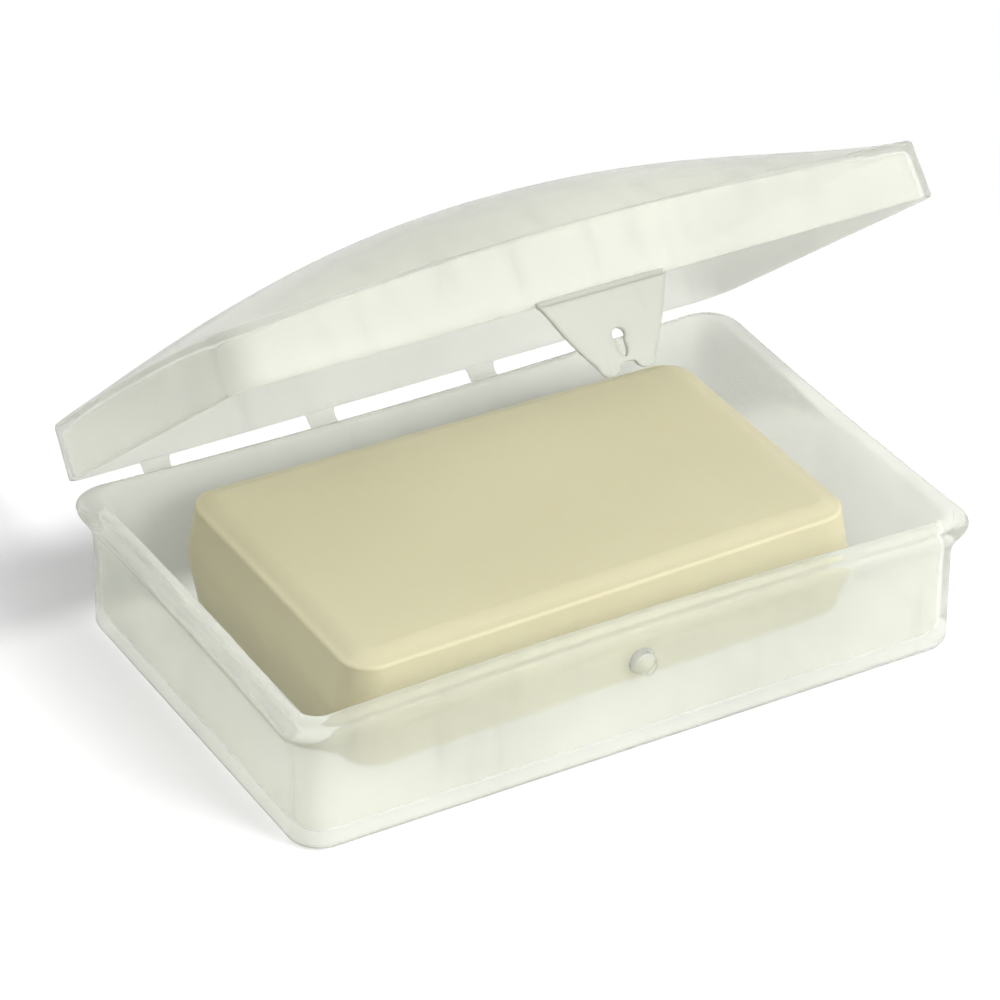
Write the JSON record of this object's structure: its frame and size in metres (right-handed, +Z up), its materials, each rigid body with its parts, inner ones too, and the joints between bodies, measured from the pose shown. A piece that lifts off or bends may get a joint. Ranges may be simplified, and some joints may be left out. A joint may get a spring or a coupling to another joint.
{
  "type": "travel soap box",
  "caption": "Hinged travel soap box in milky translucent plastic: flared-rim tray, domed lid on living hinge straps, snap clasp tongue and button, with a bar of soap inside",
  "frame": {"origin": "middle of the flat underside of the tray, where the box stands", "axes": "X along the length of the box, -Y toward the clasp at the front, +Y toward the hinge, +Z up"},
  "size_m": [0.112, 0.0793, 0.0744],
  "materials": {
    "milky_plastic": "satin, milky translucent",
    "soap": "satin soap"
  },
  "bodies": {
    "base": {"base_tray": "milky_plastic", "catch_button": "milky_plastic", "hinge_strap_1": "milky_plastic", "hinge_strap_2": "milky_plastic", "hinge_strap_3": "milky_plastic", "hinge_strap_4": "milky_plastic"},
    "lid": {"lid": "milky_plastic", "clasp_web": "milky_plastic"},
    "tongue": {"clasp_tongue": "milky_plastic"},
    "soap": {"soap_bar": "soap"}
  },
  "joints": [
    {"name": "lid_hinge", "type": "hinge", "parent": "base", "child": "lid", "pos_m": [0, 0.03755, 0.0206], "axis": [-1, 0, 0], "range_deg": [-39, 131], "stiffness_Nm_per_rad": 0.04, "springref_deg": 4.93, "deforming": ["hinge_strap_1", "hinge_strap_2", "hinge_strap_3", "hinge_strap_4"]},
    {"name": "clasp_flex", "type": "hinge", "parent": "lid", "child": "tongue", "pos_m": [0, -0.01966, 0.06809], "axis": [-1, 0, 0], "range_deg": [-15, 25], "stiffness_Nm_per_rad": 0.004, "deforming": ["clasp_web"]},
    {"name": "soap_lift", "type": "slide", "parent": "base", "child": "soap", "axis": [0, 0, 1], "range_m": [0, 0.008]}
  ]
}
